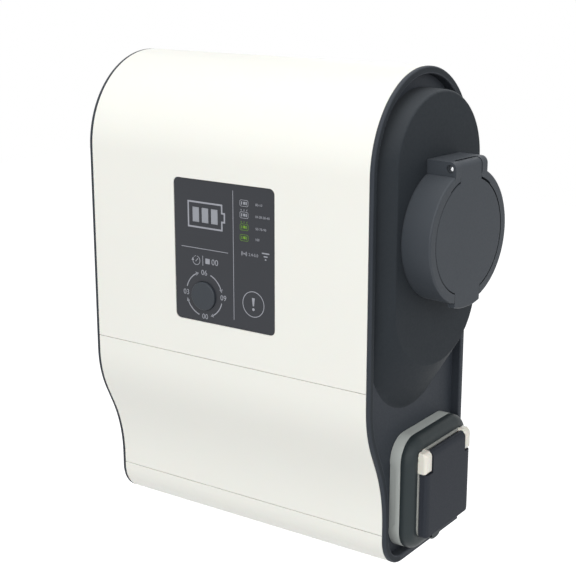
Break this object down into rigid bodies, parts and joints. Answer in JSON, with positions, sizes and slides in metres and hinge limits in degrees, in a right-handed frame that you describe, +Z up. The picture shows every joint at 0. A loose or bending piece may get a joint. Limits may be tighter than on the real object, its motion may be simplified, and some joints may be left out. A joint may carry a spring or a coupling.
{
  "type": "ev wallbox",
  "caption": "Wall-mounted electric car charging station with a lidded vehicle socket and a flapped domestic outlet on its right cheek, and a control panel with a push button in front.",
  "frame": {"origin": "middle of the four wall fixings, on the face that meets the wall", "axes": "+Z up, +Y into the wall, so the front faces -Y and the sockets face +X"},
  "size_m": [0.3091, 0.1479, 0.3826],
  "materials": {
    "white_cover": "satin moulded ABS",
    "dark_shell": "fine-textured moulded plastic",
    "socket_shell": "fine-textured moulded plastic",
    "panel_lens": "smooth",
    "light_guide": "frosted",
    "button": "satin",
    "grey_plate": "satin",
    "surround": "satin",
    "pale_frame": "satin",
    "flap": "satin",
    "seal": "matt",
    "steel": "polished ends",
    "brass": "tinned brass",
    "board": "solder mask",
    "gear": "moulded",
    "insert": "moulded"
  },
  "bodies": {
    "wallbox": {"back_plate": "dark_shell", "cable_grommet": "seal", "left_cheek": "dark_shell", "right_cheek": "dark_shell", "cheek_screws": "steel", "upper_cover": "white_cover", "lower_cover": "white_cover", "bottom_cover": "white_cover", "cover_screws": "steel", "display_panel": "panel_lens", "light_guide": "light_guide", "display_board": "board", "button_spring": "steel", "control_board": "board", "din_rail": "steel", "contactor": "gear", "residual_breaker": "gear", "terminal_block": "gear", "socket_housing": "socket_shell", "socket_well": "socket_shell", "socket_insert": "insert", "socket_contacts": "brass", "socket_screws": "steel", "lid_hinge_pin": "steel", "lid_spring": "steel", "lock_actuator": "gear", "outlet_plate": "grey_plate", "outlet_surround": "surround", "outlet_frame": "pale_frame", "flap_pin": "steel", "flap_spring": "steel", "outlet_insert": "insert", "outlet_earth_pin": "brass", "outlet_contacts": "brass", "outlet_screws": "steel"},
    "lid": {"socket_lid": "socket_shell", "lid_seal": "seal"},
    "flap": {"outlet_flap": "flap", "flap_gasket": "seal"},
    "button": {"push_button": "button"},
    "lock": {"lock_pin": "steel"}
  },
  "joints": [
    {"name": "lid_hinge", "type": "hinge", "parent": "wallbox", "child": "lid", "pos_m": [0.16669, -0.0731, 0.122], "axis": [-0.0917, -0.9958, 0], "range_deg": [0, 105], "stiffness_Nm_per_rad": 0.03, "springref_deg": -34.38},
    {"name": "flap_hinge", "type": "hinge", "parent": "wallbox", "child": "flap", "pos_m": [0.1491, -0.0565, -0.1027], "axis": [0, -1, 0], "range_deg": [0, 95], "stiffness_Nm_per_rad": 0.015, "springref_deg": -34.38},
    {"name": "button_press", "type": "slide", "parent": "wallbox", "child": "button", "axis": [0, 1, 0], "range_m": [0, 0.0015], "stiffness_N_per_m": 300, "springref_m": -0.002, "deforming": ["button_spring"]},
    {"name": "lock_slide", "type": "slide", "parent": "wallbox", "child": "lock", "axis": [0, 0, -1], "range_m": [0, 0.0055]}
  ]
}
